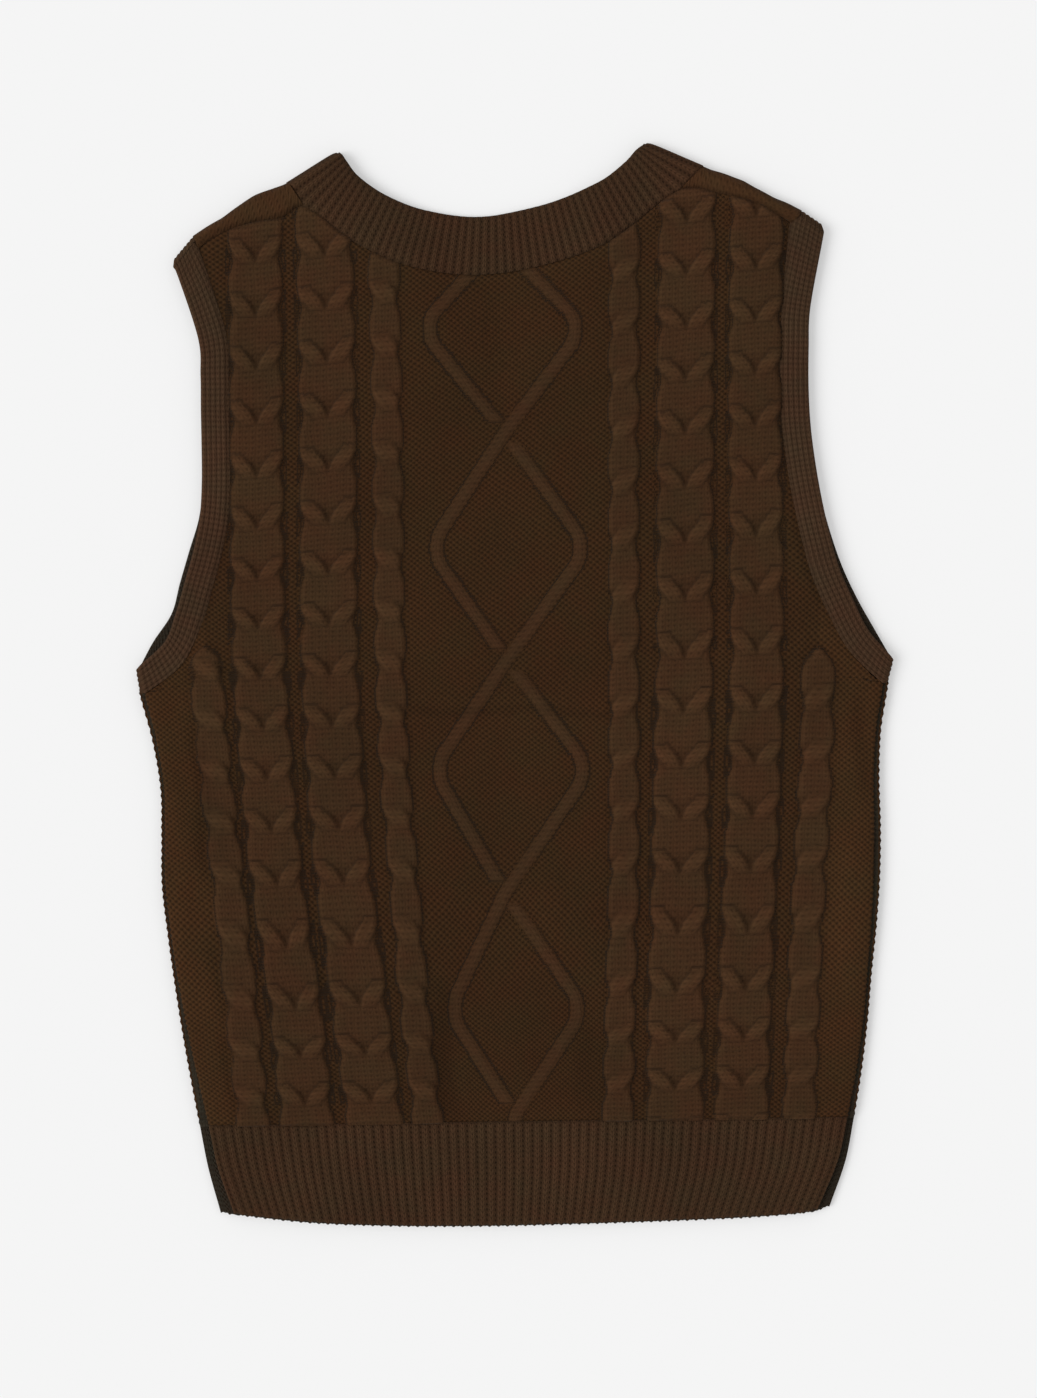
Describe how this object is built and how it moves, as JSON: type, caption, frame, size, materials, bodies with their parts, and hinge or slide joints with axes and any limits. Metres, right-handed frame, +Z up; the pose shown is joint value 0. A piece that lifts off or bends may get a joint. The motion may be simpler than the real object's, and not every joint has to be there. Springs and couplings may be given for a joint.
{
  "type": "sleeveless v-neck cable knit pullover vest, laid flat back side up",
  "caption": "Brown sleeveless cable-knit pullover with a V neck, laid flat on its front, with ribbed neckband, armbands and welt.",
  "frame": {"origin": "under the middle of the garment, on the surface it lies on", "axes": "+Y from the hem to the shoulders, +X to the wearer's right, +Z up out of the back of the garment"},
  "size_m": [0.4365, 0.622, 0.0083],
  "materials": {
    "cable_knit": "matt brushed yarn in cables, travelling lines and reverse stockinette",
    "rib_knit": "matt yarn in one by one rib",
    "band_knit": "matt yarn in a narrow double knitted band"
  },
  "bodies": {
    "root": {"front_panel": "cable_knit", "back_panel": "cable_knit", "hem_front": "rib_knit", "hem_back": "rib_knit", "neckband": "rib_knit", "armband_left": "band_knit", "armband_right": "band_knit"}
  },
  "joints": []
}
